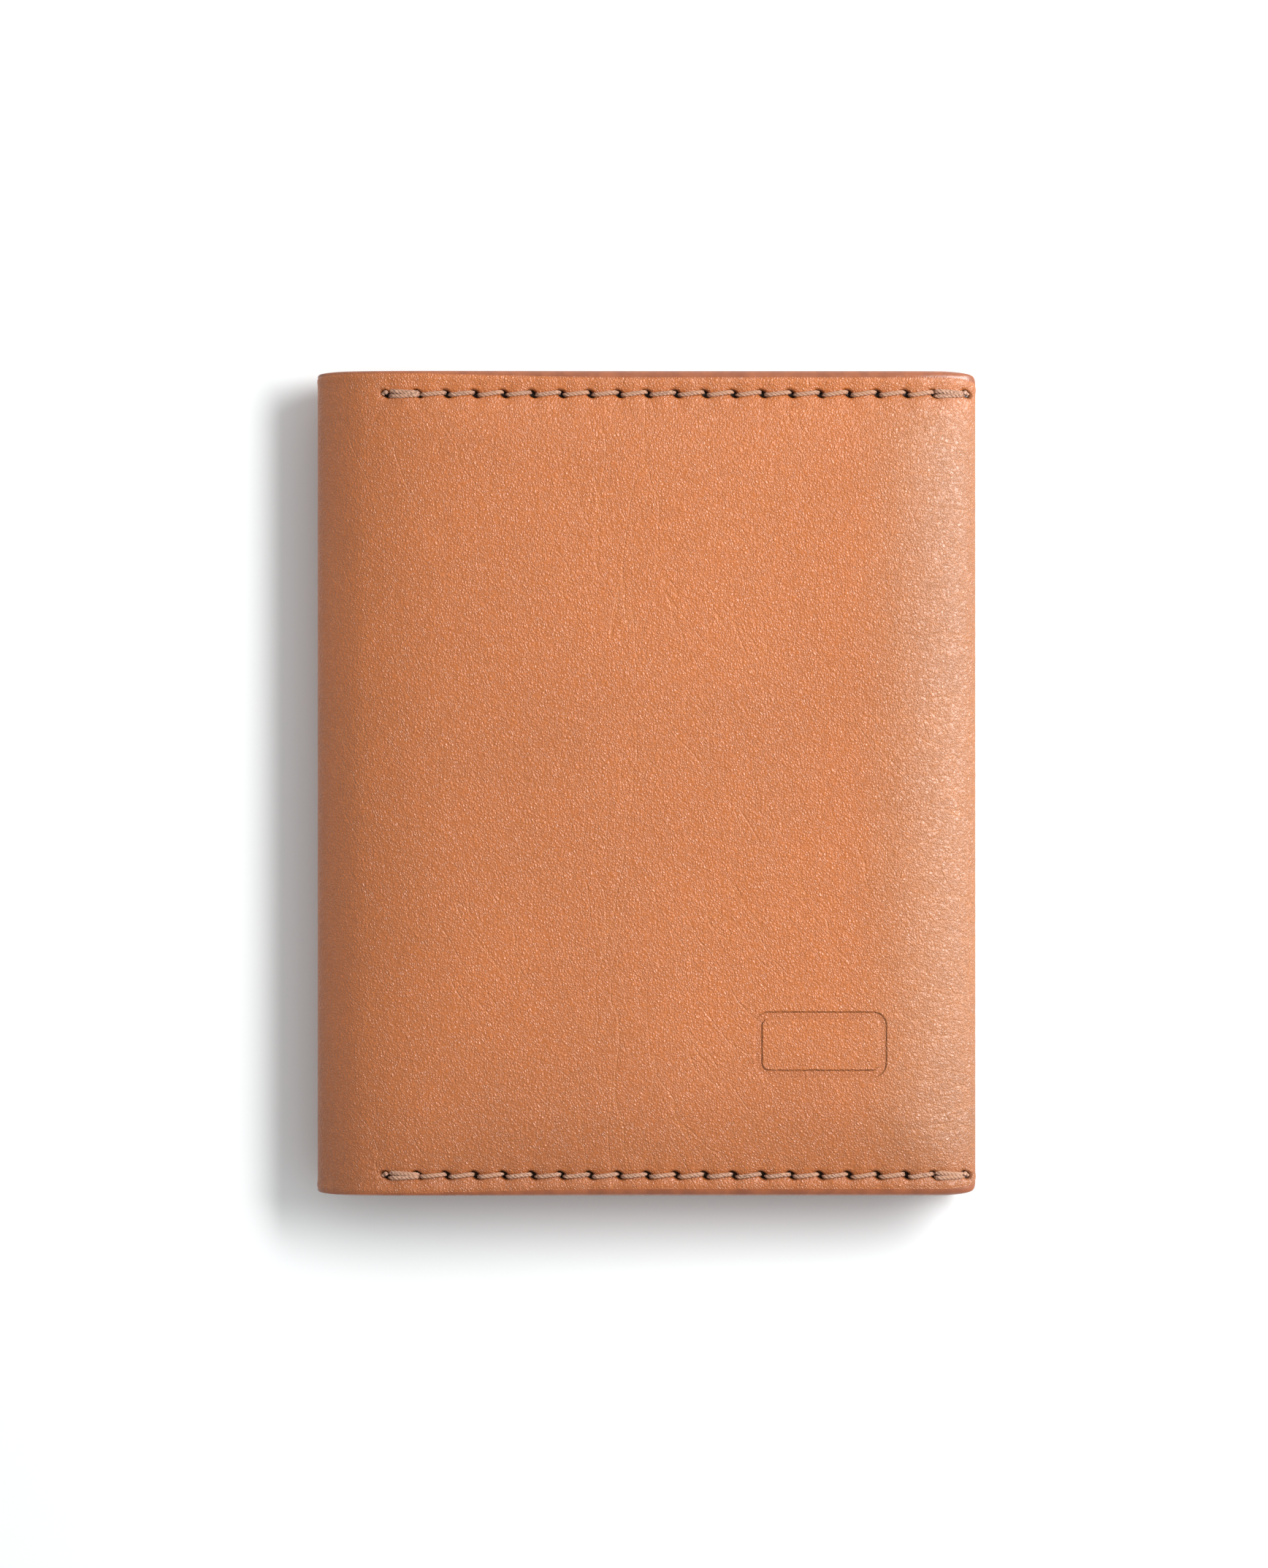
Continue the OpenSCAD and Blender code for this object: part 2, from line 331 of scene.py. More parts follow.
def mesh_object(name, points, faces, front):
    """A smooth mesh from points in mm. The front half is the back half mirrored in depth."""
    placed = np.array(points, float)
    placed[:, 0] -= WIDTH / 2
    if front:
        placed[:, 2] = THICK - placed[:, 2]
    mesh = bpy.data.meshes.new(name)
    mesh.from_pydata((placed * MM).tolist(), [], faces)
    if front:
        mesh.flip_normals()
    mesh.update()
    mesh.polygons.foreach_set("use_smooth", [True] * len(mesh.polygons))
    mesh.set_sharp_from_angle(angle=math.radians(42))
    obj = bpy.data.objects.new(name, mesh)
    bpy.context.scene.collection.objects.link(obj)
    return obj


def mirrored_rows(v):
    """Positions along the fold, from distances to an edge that end in the middle."""
    return np.concatenate([v - HALF_H, (HALF_H - v)[-2::-1]])


def half_rows():
    """Positions along the fold, close together at the edges and at the stitch rows."""
    edge_spans = ((0, 1.2, 0.14), (1.2, 1.9, 0.2), (1.9, 3.7, 0.12))
    return mirrored_rows(graded(*edge_spans, (3.7, 6, 0.28), (6, 13, 0.55), (13, HALF_H, 1)))


def fold_u(degrees):
    """u of the fold's outer face, an angle round from the cover."""
    return FOLD_R * (1 - np.sin(np.radians(degrees)))


def cover_columns():
    """u of the outer face's columns, from the fold to the fore edge."""
    spans = [(FOLD_R, HOLES[0] - 0.55, 0.4)]
    for hole in HOLES[:-1]:
        spans.append((hole - 0.55, hole + 0.75, 0.13))
        spans.append((hole + 0.75, hole + PITCH - 0.55, 0.36))
    spans.append((HOLES[-1] - 0.55, HOLES[-1] + 0.6, 0.13))
    flat = graded(*spans)
    lift = np.linspace(math.sqrt(1 - ((flat[-1] - WIDTH) / FORE_ROLL + 1) ** FORE_POWER), 0, 9)[1:]
    tip = WIDTH - FORE_ROLL + FORE_ROLL * (1 - lift**2) ** (1 / FORE_POWER)
    return np.concatenate([fold_u(np.arange(SPLIT_DEG + 3, 0, -3)), flat, tip])


def spread(u, depth, rows):
    """Grid of points from columns of u and depth, for the given positions along the fold."""
    y = rows[:, None] * edge_y(u)[None, :] / HALF_H
    return np.stack([np.broadcast_to(u, y.shape), y, np.broadcast_to(depth, y.shape)], axis=2)


def cover_face(rows):
    """Smooth outer face from past the fold's split to the fore edge."""
    grid = spread(cover_columns(), 0.0, rows)
    grid[..., 2] = outer_depth(grid[..., 0], grid[..., 1])
    return grid


def spine_face(rows):
    """Smooth outer face of the fold between its two splits, with one column to spare each side."""
    angles = np.arange(180 - SPLIT_DEG + 3, SPLIT_DEG - 4, -3)
    grid = spread(fold_u(angles), 0.0, rows)
    depth = outer_depth(grid[..., 0], grid[..., 1])
    grid[..., 2] = np.where(angles > 90, THICK - depth, depth)
    return grid


def turned_cover(name, front):
    """Cover, turned fore edge and inner panel of a half, in one piece of leather."""
    rows = half_rows()
    face = cover_face(rows)
    chi = np.radians(np.arange(100, 181, 10))
    roll = spread(
        WIDTH - INNER_ROLL + INNER_ROLL * np.sin(chi),
        FORE_DEPTH - (INNER_FACE - FORE_DEPTH) * np.cos(chi),
        rows,
    )
    reach = WIDTH - INNER_ROLL - PANEL_MOUTH
    mouth = graded(
        (0, 0.7, 0.14), (0.7, 1.6, 0.3), (1.6, 2.6, 0.14), (2.6, reach - 3.2, 2.2), (reach - 3.2, reach, 0.16)
    )
    panel = spread(PANEL_MOUTH + mouth[-2::-1], INNER_FACE, rows)
    smooth_face = np.concatenate([face, roll, panel], axis=1)
    normal = inward(smooth_face)
    u, y = smooth_face[..., 0], smooth_face[..., 1]
    on_cover = np.arange(smooth_face.shape[1]) < face.shape[1]
    edge = edge_y(u) - np.abs(y)
    rim = rounded(edge, RIM)
    lip = rounded(u - PANEL_MOUTH, LIP)
    crease = mouth_crease(u, PANEL_MOUTH)
    sink = np.where(on_cover, cover_marks(u, y), np.maximum(rim, lip) + crease)
    thick = LEATHER_T - 0.5 * smooth(u, WIDTH - 3.5, WIDTH - 0.5)
    pressed = smooth(WIDTH - u, 0.1, 1.5) * (1 - smooth(WIDTH - u, 4.0, 4.6)) * (1 - smooth(edge, 1.5, 4))
    thick = np.where(on_cover, thick, thick + pressed * (PRESSED_T - thick))
    outer = smooth_face + normal * sink[..., None]
    inner = smooth_face + normal * thick[..., None]
    at_edge = 1 - smooth(edge, edge_band(u) * 0.8, edge_band(u) * 1.02)
    at_lip = np.where(on_cover, 0, 1 - smooth(u - PANEL_MOUTH, 0.35, 0.55))
    paint = np.maximum(at_edge, at_lip)
    # The hole mask tells the material where to paint shade in the stitch holes.
    holes = sum(slit_holes(u, y, row_y) for row_y in (HALF_H - TOP_INSET, BOTTOM_INSET - HALF_H))
    holes = np.where(on_cover, holes, 0)
    outside = np.where(on_cover, 1.0, 0.0) * np.ones_like(u)
    masks = {"paint": paint, "hole": holes, "outside": outside}
    keep = slice(1, None)
    kept_masks = {mask: value[:, keep] for mask, value in masks.items()}
    return sheet_mesh(name, outer[:, keep], inner[:, keep], front, (3, 4), **kept_masks)


def leather_spine(name):
    """The leather round the fold, between the two covers."""
    face = spine_face(half_rows())
    sink = cover_marks(face[..., 0], face[..., 1])
    normal = inward(face)
    edge = edge_y(face[..., 0]) - np.abs(face[..., 1])
    paint = 1 - smooth(edge, 0.33, 0.44)
    keep = slice(1, -1)
    outer = face + normal * sink[..., None]
    inner = face + normal * LEATHER_T
    return sheet_mesh(name, outer[:, keep], inner[:, keep], False, (3, 2), paint=paint[:, keep])


def inner_rows():
    """Positions along the fold for the layers inside."""
    return mirrored_rows(graded((0, 0.3, 0.1), (0.3, 12, 0.65), (12, HALF_H, 1.6)))


def board_lift(u, y):
    """How far the board holds the lining off the leather."""
    along = smooth(u, BOARD_U[0] - 1.2, BOARD_U[0]) * (1 - smooth(u, BOARD_U[1], BOARD_U[1] + 1.2))
    return BOARD_T * along * smooth(HALF_H - np.abs(y), 7.5, BOARD_MARGIN)


def under_cover(columns, rows, lift_from, lift_to, board=False):
    """Two grids that lie at two distances under a cover's outer face."""
    grid = spread(columns, 0.0, rows)
    grid[..., 2] = outer_depth(grid[..., 0], grid[..., 1])
    normal = inward(grid)
    lift = board_lift(grid[..., 0], grid[..., 1]) if board else 0 * grid[..., 0]
    return grid + normal * (lift_from + lift)[..., None], grid + normal * (lift_to + lift)[..., None]


def lining(name, front):
    """The cloth over a half's leather and board."""
    columns = np.concatenate([fold_u(np.arange(SPLIT_DEG + 3, 0, -3)), graded((FOLD_R, LINING_END, 0.7))])
    outer, inner = under_cover(columns, inner_rows(), LEATHER_T, LEATHER_T + LINING_T, board=True)
    return sheet_mesh(name, outer[:, 1:], inner[:, 1:], front)


def spine_lining(name):
    """The cloth round the inside of the fold."""
    face = spine_face(inner_rows())
    normal = inward(face)
    outer, inner = face + normal * LEATHER_T, face + normal * (LEATHER_T + LINING_T)
    return sheet_mesh(name, outer[:, 1:-1], inner[:, 1:-1], False)


def board(name, front):
    """The board between a cover and its lining, following the cover's shape."""
    rows = mirrored_rows(graded((BOARD_MARGIN, HALF_H, 1.5)))
    outer, inner = under_cover(graded((*BOARD_U, 1.4)), rows, LEATHER_T, LEATHER_T + BOARD_T)
    return sheet_mesh(name, outer, inner, front)


def panel(name, mouth, end, depths, front):
    """A flat leather panel with a rounded, painted mouth and a crease line beside it."""
    start, stop = depths
    columns = mouth + graded((0, 0.4, 0.08), (0.4, 1.6, 0.3), (1.6, 2.6, 0.14), (2.6, end - mouth, 1.5))
    grid = spread(columns, 0.0, inner_rows())
    u, y = grid[..., 0], grid[..., 1]
    half = (stop - start) / 2
    lip = 0.85 * rounded(u - mouth, half)
    crease = mouth_crease(u, mouth)
    loose = smooth(HALF_H - np.abs(y), 4, 12) * (1 - smooth(u, mouth, mouth + 12))
    sag = 0.05 * np.sin(0.16 * y + u * 0.1) * loose
    outer, inner = grid.copy(), grid.copy()
    outer[..., 2] = start + dome(u) + lip + sag
    inner[..., 2] = stop + dome(u) - np.maximum(lip, crease) + sag
    at_lip = 1 - smooth(u - mouth, 0.25, 0.4)
    at_edge = 1 - smooth(HALF_H - np.abs(y), 0.05, 0.12)
    return sheet_mesh(name, outer, inner, front, paint=np.maximum(at_lip, at_edge))


# ------------------------------------------------------------------------------ stitching


class Tubes:
    """Collects round tubes into one mesh."""

    def __init__(self):
        self.points = []
        self.faces = []

    def add(self, path, radius, ring=7):
        """A tube along a path of points, its radius one value or one per point."""
        path = np.asarray(path, float)
        radius = np.broadcast_to(radius, len(path))
        ahead = np.gradient(path, axis=0)
        ahead /= np.linalg.norm(ahead, axis=1, keepdims=True)
        side = np.cross(ahead, (0.0, 0.0, 1.0))
        side /= np.maximum(np.linalg.norm(side, axis=1, keepdims=True), 1e-6)
        up = np.cross(side, ahead)
        base = len(self.points)
        for p, s, t, r in zip(path, side, up, radius):
            for k in range(ring):
                a = 2 * math.pi * k / ring
                self.points.append(p + r * (math.cos(a) * s + math.sin(a) * t))
        for i in range(len(path) - 1):
            for k in range(ring):
                n = (k + 1) % ring
                a, b = base + i * ring, base + (i + 1) * ring
                self.faces.append((a + k, a + n, b + n, b + k))
        self.faces.append(tuple(base + k for k in range(ring))[::-1])
        self.faces.append(tuple(base + (len(path) - 1) * ring + k for k in range(ring)))

    def twisted(self, path, phase, size=THREAD_D):
        """Three plies twisted round a path."""
        path = np.asarray(path, float)
        steps = np.linalg.norm(np.diff(path, axis=0), axis=1)
        run = np.concatenate([[0], np.cumsum(steps)])
        ahead = np.gradient(path, axis=0)
        ahead /= np.linalg.norm(ahead, axis=1, keepdims=True)
        side = np.cross(ahead, (0.0, 0.0, 1.0))
        side /= np.maximum(np.linalg.norm(side, axis=1, keepdims=True), 1e-6)
        up = np.cross(side, ahead)
        for ply in range(3):
            a = (phase + 2 * math.pi * (run / 1.5 + ply / 3))[:, None]
            self.add(path + 0.24 * size * (np.cos(a) * side + np.sin(a) * up), 0.29 * size)


def inner_level(i):
    """Depth of the innermost face that hole i reaches."""
    levels = (DIVIDER[1], REAR_POCKET[1], FRONT_POCKET[1], INNER_FACE)
    return levels[min(i // 2, 3)]


def stitch_path(start, end, y0, y1, level, dip, arch):
    """A stitch from hole to hole that dips at both ends. level gives its depth at u and y."""
    t = np.linspace(0, 1, 17)
    u = start + (end - start) * t
    y = y0 + (y1 - y0) * smooth(t, 0, 1)
    body = np.clip(np.minimum(t, 1 - t) / 0.2, 0, 1)
    lift = dip * (1 - np.sqrt(1 - (1 - body) ** 2)) - arch * np.sin(math.pi * t)
    return np.stack([u, y, level(u, y) + lift], axis=1)


def stitch_row(name, row_y, front):
    """One row of thread on both faces of a half, doubled and melted at its ends."""
    tubes = Tubes()
    rng = np.random.default_rng(7 if row_y > 0 else 11)

    def outside(u, y):
        return outer_depth(u, row_y + 0 * y) + 0.02

    for i in range(STITCHES):
        doubled = i in (0, STITCHES - 1)
        slant = 0.15 + rng.uniform(-0.03, 0.03)
        start = HOLES[i] + 0.42 + rng.uniform(-0.05, 0.05)
        end = HOLES[i + 1] - 0.26 + rng.uniform(-0.07, 0.07)
        if doubled:
            for side, cross in ((-0.24, 0.06), (0.22, -0.1)):
                y0, y1 = row_y + side - cross, row_y + side + cross
                path = stitch_path(start - 0.35, end + 0.3, y0, y1, outside, 0.6, 0.12)
                tubes.twisted(path, rng.uniform(0, 6), size=THREAD_D * 1.08)
        else:
            path = stitch_path(start, end, row_y - slant, row_y + slant, outside, 0.62, 0.17)
            tubes.twisted(path, rng.uniform(0, 6))
        face = inner_level(i)

        def inside(u, y, face=face, near=HOLES[i + 1]):
            return face + dome(np.minimum(u, near)) - 0.02

        path = stitch_path(HOLES[i] + 0.2, HOLES[i + 1] - 0.2, row_y, row_y, inside, -0.35, -0.02)
        tubes.twisted(path, rng.uniform(0, 6), size=THREAD_D * 0.8)
    for hole, reach in ((HOLES[0], -0.3), (HOLES[-1], 0.1)):
        t = np.linspace(0, 1, 9)
        curl = hole + reach + 0.5 * t * np.sign(reach)
        drop = row_y + 0.25 * np.sin(3.5 * t)
        path = np.stack([curl, drop, outside(curl, drop) - 0.02 + 0.25 * t], axis=1)
        tubes.add(path, 0.2 + 0.06 * np.sin(7 * t))
    return mesh_object(name, tubes.points, tubes.faces, front)


# ------------------------------------------------------------------------------ materials


class Nodes:
    """Short calls for building a material's nodes."""

    def __init__(self, name):
        self.material = bpy.data.materials.new(name)
        self.material.use_nodes = True
        self.tree = self.material.node_tree
        self.shader = self.tree.nodes["Principled BSDF"]
        place = self.tree.nodes.new("ShaderNodeTexCoord")
        self.mm = self.vector("SCALE", place.outputs["Object"], scale=1 / MM)

    def put(self, socket, value):
        if isinstance(value, bpy.types.NodeSocket):
            self.tree.links.new(value, socket)
        elif value is not None:
            socket.default_value = value

    def vector(self, operation, a, b=None, scale=None):
        node = self.tree.nodes.new("ShaderNodeVectorMath")
        node.operation = operation
        self.put(node.inputs[0], a)
        self.put(node.inputs[1], b)
        if scale is not None:
            self.put(node.inputs["Scale"], scale)
        return node.outputs[0]

    def math(self, operation, a, b=None, clamp=False):
        node = self.tree.nodes.new("ShaderNodeMath")
        node.operation = operation
        node.use_clamp = clamp
        self.put(node.inputs[0], a)
        self.put(node.inputs[1], b)
        return node.outputs[0]

    def split(self, value):
        node = self.tree.nodes.new("ShaderNodeSeparateXYZ")
        self.put(node.inputs[0], value)
        return node.outputs

    def stretched(self, factors, turn):
        """Places turned first and stretched after, so that the stretch runs at an angle."""
        turned = self.tree.nodes.new("ShaderNodeMapping")
        self.put(turned.inputs["Vector"], self.mm)
        turned.inputs["Rotation"].default_value = (0, 0, math.radians(turn))
        scaled = self.tree.nodes.new("ShaderNodeMapping")
        self.put(scaled.inputs["Vector"], turned.outputs[0])
        scaled.inputs["Scale"].default_value = factors
        return scaled.outputs[0]

    def noise(self, size, detail=3.0, rough=0.5, place=None):
        """Noise with features of about size mm."""
        node = self.tree.nodes.new("ShaderNodeTexNoise")
        self.put(node.inputs["Vector"], place or self.mm)
        node.inputs["Scale"].default_value = 1 / size
        node.inputs["Detail"].default_value = detail
        node.inputs["Roughness"].default_value = rough
        return node.outputs[0]

    def wander(self, size, reach):
        """The place, shifted by up to about reach mm in a direction that changes over size mm."""
        node = self.tree.nodes.new("ShaderNodeTexNoise")
        self.put(node.inputs["Vector"], self.mm)
        node.inputs["Scale"].default_value = 1 / size
        centred = self.vector("SUBTRACT", node.outputs["Color"], (0.5, 0.5, 0.5))
        return self.vector("ADD", self.mm, self.vector("SCALE", centred, scale=2 * reach))

    def cells(self, size, place):
        """Distance to the edges of cells of about size mm."""
        node = self.tree.nodes.new("ShaderNodeTexVoronoi")
        node.feature = "DISTANCE_TO_EDGE"
        self.put(node.inputs["Vector"], place)
        node.inputs["Scale"].default_value = 1 / size
        return node.outputs["Distance"]

    def remap(self, value, low, high, to_low=0.0, to_high=1.0):
        node = self.tree.nodes.new("ShaderNodeMapRange")
        node.interpolation_type = "SMOOTHSTEP"
        self.put(node.inputs["Value"], value)
        for socket, v in zip(("From Min", "From Max", "To Min", "To Max"), (low, high, to_low, to_high)):
            node.inputs[socket].default_value = v
        return node.outputs[0]

    def mix(self, factor, a, b):
        node = self.tree.nodes.new("ShaderNodeMix")
        node.data_type = "RGBA"
        self.put(node.inputs["Factor"], factor)
        self.put(node.inputs["A"], self.colour(a))
        self.put(node.inputs["B"], self.colour(b))
        return node.outputs["Result"]

    def colour(self, value):
        return (*value, 1.0) if isinstance(value, tuple) else value

    def attribute(self, name):
        node = self.tree.nodes.new("ShaderNodeAttribute")
        node.attribute_name = name
        return node.outputs["Fac"]

    def bump(self, height, depth_mm, normal=None):
        node = self.tree.nodes.new("ShaderNodeBump")
        node.inputs["Distance"].default_value = depth_mm * MM
        node.inputs["Strength"].default_value = 1.0
        self.put(node.inputs["Height"], height)
        if normal is not None:
            self.put(node.inputs["Normal"], normal)
        return node.outputs[0]

    def finish(self, colour, rough, normal=None, **plain):
        self.put(self.shader.inputs["Base Color"], colour)
        self.put(self.shader.inputs["Roughness"], rough)
        if normal is not None:
            self.put(self.shader.inputs["Normal"], normal)
        for name, value in plain.items():
            self.shader.inputs[name.replace("_", " ")].default_value = value
        return self.material


def hairlines(n, size, stretch, turn, width):
    """Thin wandering lines: where stretched noise crosses its middle value."""
    value = n.noise(size, 2.0, 0.5, n.stretched(stretch, turn))
    away = n.math("ABSOLUTE", n.math("SUBTRACT", value, 0.5))
    return n.remap(away, 0.0, width, 1.0, 0.0)


def frame_line(n, centre, half_size, radius, width):
    """A plain rounded rectangle's outline pressed into the leather."""
    x, y, _ = n.split(n.vector("SUBTRACT", n.mm, (centre[0], centre[1], 0.0)))
    dx = n.math("MAXIMUM", n.math("SUBTRACT", n.math("ABSOLUTE", x), half_size[0] - radius), 0.0)
    dy = n.math("MAXIMUM", n.math("SUBTRACT", n.math("ABSOLUTE", y), half_size[1] - radius), 0.0)
    round_part = n.math("SQRT", n.math("ADD", n.math("MULTIPLY", dx, dx), n.math("MULTIPLY", dy, dy)))
    ax = n.math("SUBTRACT", n.math("ABSOLUTE", x), half_size[0] - radius)
    ay = n.math("SUBTRACT", n.math("ABSOLUTE", y), half_size[1] - radius)
    inside = n.math("MINIMUM", n.math("MAXIMUM", ax, ay), 0.0)
    distance = n.math("SUBTRACT", n.math("ADD", round_part, inside), radius)
    return n.remap(n.math("ABSOLUTE", distance), width * 0.32, width * 0.62, 1.0, 0.0)


def leather(name, base, stamped=False):
    """Tan leather: pebble grain, mottled colour, hairline wrinkles and smooth painted edges, with painted
    shade by the fold, towards the lower edge and in the stitch holes, and a painted sheen by the fore edge.
    """
    n = Nodes(name)
    bent = n.wander(1.3, 0.35)
    pebbles = n.remap(n.cells(0.56, bent), 0.0, 0.4)
    fine_pebbles = n.remap(n.cells(0.3, bent), 0.0, 0.42)
    grain = n.math("ADD", n.math("MULTIPLY", pebbles, 0.4), n.math("MULTIPLY", fine_pebbles, 0.6))
    patches = n.noise(26, 2.0)
    cloud = n.noise(5.5, 3.0, 0.6)
    specks = n.noise(1.0, 2.0, 0.5)
    place = n.split(n.mm)
    middle = n.remap(n.math("ABSOLUTE", n.math("SUBTRACT", place[0], -3.5)), 1.0, 11.0, 1.0, 0.0)
    upright = n.math("MULTIPLY", hairlines(n, 5.0, (1.0, 0.16, 1.0), 4, 0.012), middle)
    slanted_at = n.remap(n.noise(15, 1.0), 0.5, 0.62)
    slanted = n.math("MULTIPLY", hairlines(n, 5.5, (1.0, 0.22, 1.0), -32, 0.011), slanted_at)
    from_end = n.math("SUBTRACT", HALF_H, n.math("ABSOLUTE", place[1]))
    # fore marks the band by the fore edge: lower roughness, level wrinkles, and a painted sheen in the
    # colour.
    fore = n.remap(place[0], WIDTH / 2 - 18, WIDTH / 2 - 2)
    fore = n.math("MULTIPLY", fore, n.remap(from_end, 1.5, 9.0, 0.35, 1.0))
    fore = n.math("MULTIPLY", fore, n.attribute("outside"))
    level = n.math("MULTIPLY", hairlines(n, 3.2, (0.22, 1.0, 1.0), 3, 0.03), fore)
    lines = n.math("MAXIMUM", n.math("MAXIMUM", upright, slanted), level)

    shade = n.math("ADD", n.remap(patches, 0.3, 0.7, -0.035, 0.035), n.remap(cloud, 0.3, 0.7, -0.02, 0.02))
    shade = n.math("ADD", shade, n.remap(specks, 0.3, 0.7, -0.03, 0.03))
    shade = n.math("ADD", shade, n.remap(grain, 0.0, 1.0, -0.11, 0.05))
    # Painted shade: the colour is darkened towards the fold, where the cover rolls away from the light, and
    # towards the lower edge, where the light is dimmer.
    fold_painted_shade = n.remap(place[0], -WIDTH / 2 + 1, -WIDTH / 2 + 17, -0.12, 0.0)
    low_painted_shade = n.remap(place[1], -HALF_H, -HALF_H + 24, -0.13, 0.0)
    # Painted sheen: by the fore edge the colour is dimmed here and mixed towards a pale pink below, standing
    # in for the light's sheen on the rolled edge.
    painted_sheen_dim = n.math("MULTIPLY", fore, -0.1)
    # The leather's painted light: the two painted shades and the dimming under the painted sheen.
    wear_and_painted_light = n.math("ADD", n.math("ADD", fold_painted_shade, low_painted_shade), painted_sheen_dim)
    bright = n.math("ADD", n.math("ADD", shade, wear_and_painted_light), 1.0)
    dye_and_sheen = n.mix(n.remap(cloud, 0.35, 0.7), base, (base[0] * 0.98, base[1] * 0.96, base[2] * 0.92))
    # Painted sheen: paler and pinker by the fore edge.
    dye_and_sheen = n.mix(n.math("MULTIPLY", fore, 0.55), dye_and_sheen, (base[0] * 0.88, base[1] * 1.45, base[2] * 3.7))
    body = n.vector("SCALE", dye_and_sheen, scale=bright)
    pale = n.mix(n.math("MULTIPLY", lines, 0.13), body, (base[0] * 1.2, base[1] * 1.5, base[2] * 1.8))
    edge = n.attribute("paint")
    paint_shade = n.remap(n.noise(2.2, 3.0), 0.3, 0.7)
    paint = n.mix(paint_shade, *EDGE_PAINT)
    # Painted shade: the stitch holes are filled with near-black.
    hole_shade = n.math("MULTIPLY", n.attribute("hole"), 1.6, clamp=True)
    final = n.mix(hole_shade, n.mix(edge, pale, paint), HOLE_SHADE)

    height = n.math("ADD", n.math("MULTIPLY", grain, 0.75), n.math("MULTIPLY", specks, 0.35))
    height = n.math("SUBTRACT", height, n.math("MULTIPLY", lines, 0.28))
    calm = n.math("SUBTRACT", 1.0, n.math("MULTIPLY", edge, 0.9))
    normal = n.bump(n.math("MULTIPLY", height, calm), 0.12)
    normal = n.bump(n.noise(4.2, 3.0, 0.55), 0.09, normal)
    if stamped:
        mark = frame_line(n, *STAMP)
        final = n.mix(n.math("MULTIPLY", mark, 0.16), final, (base[0] * 0.55, base[1] * 0.45, base[2] * 0.4))
        normal = n.bump(n.math("SUBTRACT", 1.0, mark), 0.2, normal)
    rough = n.math("SUBTRACT", n.remap(grain, 0.0, 1.0, 0.43, 0.34), n.math("MULTIPLY", edge, 0.06))
    rough = n.math("SUBTRACT", rough, n.math("MULTIPLY", fore, 0.04))
    return n.finish(
        final,
        rough,
        normal,
        Specular_IOR_Level=0.85,
        Coat_Weight=0.1,
        Coat_Roughness=0.34,
    )


def thread_material():
    """Waxed taupe thread with fine fibres."""
    n = Nodes("waxed_thread")
    fibres = n.noise(0.12, 2.0, 0.6, n.stretched((0.35, 1.0, 1.0), 25))
    tone = n.mix(n.remap(fibres, 0.3, 0.7), (0.2, 0.092, 0.052), (0.66, 0.39, 0.265))
    tone = n.mix(n.remap(n.noise(3.0, 2.0), 0.4, 0.65), tone, (0.46, 0.245, 0.15))
    return n.finish(tone, 0.42, n.bump(fibres, 0.03), Specular_IOR_Level=0.5, Sheen_Weight=0.15)


def lining_material():
    """Plain-woven dark brown cloth."""
    n = Nodes("woven_lining")
    place = n.split(n.mm)
    turns = 2 * math.pi / 0.36
    weft = n.math("SINE", n.math("MULTIPLY", place[0], turns))
    warp = n.math("SINE", n.math("MULTIPLY", place[1], turns))
    weave = n.remap(n.math("MULTIPLY", weft, warp), -1.0, 1.0)
    wear_and_painted_light = n.noise(9, 3.0)
    tone = n.mix(weave, (0.085, 0.045, 0.026), (0.16, 0.088, 0.052))
    tone = n.mix(n.remap(wear_and_painted_light, 0.4, 0.7, 0.0, 0.35), tone, (0.19, 0.115, 0.075))
    height = n.math("ADD", weave, n.math("MULTIPLY", n.noise(0.2, 2.0), 0.4))
    return n.finish(tone, 0.82, n.bump(height, 0.06), Sheen_Weight=0.2)


def board_material():
    """Grey-beige fibre board."""
    n = Nodes("fibre_board")
    fibres = n.noise(0.5, 4.0, 0.7, n.stretched((0.4, 1.0, 1.0), 30))
    tone = n.mix(n.remap(fibres, 0.3, 0.7), (0.36, 0.31, 0.25), (0.52, 0.46, 0.38))
    return n.finish(tone, 0.9, n.bump(fibres, 0.05))


def floor_material():
    """White paper with a trace of unevenness in its surface."""
    n = Nodes("white_paper")
    tone = n.mix(n.noise(30, 2.0), (0.885, 0.905, 0.91), (0.905, 0.925, 0.93))
    return n.finish(tone, 0.95, Specular_IOR_Level=0.0)


COVER_LEATHER = leather("tan_leather", LEATHER_TONE, stamped=True)
BACK_LEATHER = leather("tan_leather_plain", LEATHER_TONE)
POCKET_LEATHER = leather("inner_tan_leather", INNER_TONE)
THREAD = thread_material()
LINING = lining_material()
BOARD = board_material()


def finish_piece(obj, material, nodes, body=None):
    """Gives a piece its material, and its slot when a body is given, and puts it in place of its CAD nodes.
    """
    obj.data.materials.append(material)
    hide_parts(*nodes)
    if body:
        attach(obj, body)
    return obj


